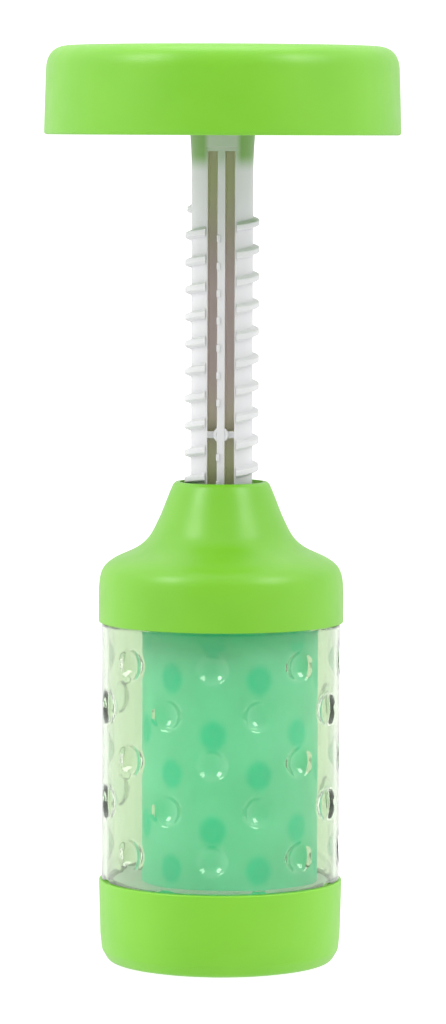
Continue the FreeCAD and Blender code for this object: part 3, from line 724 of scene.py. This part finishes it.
def make_barrel():
    """The clear barrel: a thin wall with real dimples on the outside and their bulges inside."""
    bm = bmesh.new()
    low, high = low_mm(BARREL), high_mm(BARREL)
    rings = []
    for radius, z in ((SPIGOT_RADIUS - 0.4, low), (SPIGOT_RADIUS, low + 0.4),
                      (SPIGOT_RADIUS, STEP_LOW - 0.4), (SPIGOT_RADIUS + 0.4, STEP_LOW)):
        rings.append(barrel_ring(bm, radius, z, DIMPLE_HALF, 0.0))
    count = 122
    for index in range(count + 1):
        z = STEP_LOW + 0.3 + (STEP_HIGH - STEP_LOW - 0.6) * index / count
        rings.append(barrel_ring(bm, BARREL_RADIUS, z, DIMPLE_HALF, 1.0))
    for radius, z in ((SPIGOT_RADIUS + 0.4, STEP_HIGH), (SPIGOT_RADIUS, STEP_HIGH + 0.4),
                      (SPIGOT_RADIUS, high - 0.4), (SPIGOT_RADIUS - 0.4, high),
                      (SPIGOT_RADIUS - WALL, high), (SPIGOT_RADIUS - WALL, STEP_HIGH + 1.2)):
        rings.append(barrel_ring(bm, radius, z, DIMPLE_HALF, 0.0))
    for index in range(count + 1):
        z = STEP_HIGH - 0.9 - (STEP_HIGH - STEP_LOW - 1.8) * index / count
        rings.append(barrel_ring(bm, BARREL_RADIUS - WALL, z, DIMPLE_HALF - 0.5, 1.0))
    for radius, z in ((SPIGOT_RADIUS - WALL, STEP_LOW - 1.2), (SPIGOT_RADIUS - WALL, low)):
        rings.append(barrel_ring(bm, radius, z, DIMPLE_HALF, 0.0))
    for index, ring in enumerate(rings):
        join_rings(bm, rings[index - 1], ring)
    barrel = new_piece("dimpled_barrel", bm)
    barrel.visible_shadow = False
    place(barrel, CLEAR, "housing", "barrel", "clear_plastic")


def make_core():
    """The green tube, which stands a little to the right of the barrel's axis."""
    low, high, radius = low_mm(CORE), high_mm(CORE), radius_mm(CORE)
    centre = ((CORE[0][0] + CORE[1][0]) / 2.0 / MM, 0.0)
    bm = bmesh.new()
    add_lathe(bm, rounded([(radius - 1.5, low, 0.3), (radius, low, 0.4), (radius, high, 0.4),
                           (radius - 1.5, high, 0.3)], steps=4), segments=192, centre=centre)
    place(new_piece("green_core_tube", bm), GREEN, "housing", "core_tube", "green_core")


# ---------------------------------------------------------------- stage, light and camera

def studio_paper(name, glow):
    """Plain pale paper; glow keeps it white at a distance."""
    material, tree, shader = node_tree(name)
    tree.links.new(blend_colours(tree, noise(tree, 3.0), (0.30, 0.30, 0.30), (0.31, 0.31, 0.31)),
                   shader.inputs["Base Color"])
    shader.inputs["Roughness"].default_value = 0.95
    shader.inputs["Specular IOR Level"].default_value = 0.1
    shader.inputs["Emission Color"].default_value = (1.0, 1.0, 1.0, 1.0)
    shader.inputs["Emission Strength"].default_value = glow
    return material


def add_stage(name, profile, glow):
    """Turns a run of (r, z) points, in metres, into a part of the stage."""
    bm = bmesh.new()
    rings = []
    for radius, z in profile:
        angles = [TURN * step / 96 for step in range(96)]
        rings.append([bm.verts.new((radius * math.cos(angle), radius * math.sin(angle), z))
                      for angle in angles] if radius else [bm.verts.new((0.0, 0.0, z))])
    for first, second in zip(rings, rings[1:]):
        join_rings(bm, first, second)
    bmesh.ops.recalc_face_normals(bm, faces=bm.faces)
    mesh = bpy.data.meshes.new(name)
    bm.to_mesh(mesh)
    bm.free()
    mesh.materials.append(studio_paper(name + "_paper", glow))
    stage = bpy.data.objects.new(name, mesh)
    stage.visible_glossy = False
    bpy.context.scene.collection.objects.link(stage)
    return stage


def make_stage():
    """A plain white floor and a far white wall all round it, which the gloss doesn't mirror."""
    reach, tall = 24.0, 7.0
    add_stage("studio_floor", [(0.0, 0.0), (1.0, 0.0), (reach, 0.0)], 0.93)
    wall = add_stage("studio_wall", [(reach, 0.0), (reach, tall)], 1.0)
    wall.visible_diffuse = False


def add_softbox(name, place_at, aim, width, height, power):
    light = bpy.data.lights.new(name, "AREA")
    light.shape = "RECTANGLE"
    light.size, light.size_y = width, height
    light.energy = power
    lamp = bpy.data.objects.new(name, light)
    lamp.visible_camera = False
    lamp.location = place_at
    lamp.rotation_euler = (Vector(aim) - Vector(place_at)).to_track_quat("-Z", "Y").to_euler()
    bpy.context.scene.collection.objects.link(lamp)


# brightness of the surround: in front, behind, and what each direction adds, as (axis, from, to, added)
FRONT_GLOW, BACK_GLOW, THROUGH_GLOW = 0.38, 0.95, 0.95
ADDED_GLOWS = (("X", -0.35, -1.0, 0.65), ("X", 0.35, 1.0, 0.4), ("Z", 0.25, 0.9, 0.6))
# name, place, width, height and power of each softbox
SOFTBOXES = (("softbox_left", (-0.98, -0.66, 1.05), 0.50, 0.60, 5.8),
             ("softbox_right", (0.98, -0.66, 1.05), 0.50, 0.60, 5.2),
             ("softbox_top", (0.0, 0.15, 1.5), 1.0, 0.8, 5.0))


def make_light():
    """A surround that is dim in front and bright behind and beside, and softboxes above.

    Seen through the clear barrel it is never darker than the paper behind.
    """
    world = bpy.data.worlds.new("studio")
    world.use_nodes = True
    world.node_tree.nodes["Background"].inputs["Color"].default_value = (1.0, 1.0, 1.0, 1.0)
    tree = world.node_tree
    towards = tree.nodes.new("ShaderNodeTexCoord")
    split = tree.nodes.new("ShaderNodeSeparateXYZ")
    tree.links.new(towards.outputs["Generated"], split.inputs["Vector"])
    glow = ramp(tree, split.outputs["Y"], -1.0, 0.3, FRONT_GLOW, BACK_GLOW)
    for axis, start, end, added in ADDED_GLOWS:
        glow = math_node(tree, "ADD", glow, ramp(tree, split.outputs[axis], start, end, 0.0, added))
    through = tree.nodes.new("ShaderNodeLightPath").outputs["Is Transmission Ray"]
    glow = math_node(tree, "MAXIMUM", glow, math_node(tree, "MULTIPLY", through, THROUGH_GLOW))
    tree.links.new(glow, tree.nodes["Background"].inputs["Strength"])
    bpy.context.scene.world = world
    aim = (0.0, 0.0, 0.15)
    for name, place_at, width, height, power in SOFTBOXES:
        add_softbox(name, place_at, aim, width, height, power)


LENS, SENSOR, EYE, TARGET, ROLL = 174.4, 36.0, (0.0005, -1.55, 0.262), (0.0005, 0.0, 0.142), 0.2


def make_camera():
    """The photographer's viewpoint: level with the handle's lower edge, aimed at mid height."""
    camera = bpy.data.cameras.new("camera")
    camera.sensor_width = SENSOR
    camera.lens = LENS
    camera.clip_start, camera.clip_end = 0.05, 100.0
    eye = bpy.data.objects.new("camera", camera)
    eye.location = EYE
    facing = (Vector(TARGET) - eye.location).to_track_quat("-Z", "Y")
    roll = Matrix.Rotation(math.radians(ROLL), 3, "Z")
    eye.rotation_euler = (facing.to_matrix() @ roll).to_euler()
    bpy.context.scene.collection.objects.link(eye)
    bpy.context.scene.camera = eye
    bpy.context.scene.view_settings.view_transform = "Standard"


make_camera()
bpy.context.scene.cycles.max_bounces = 32
bpy.context.scene.cycles.transmission_bounces = 32
finish_cad_nodes()
make_handle()
make_plug()
make_rod()
make_collar()
make_base_cap()
make_barrel()
make_core()
make_stage()
make_light()
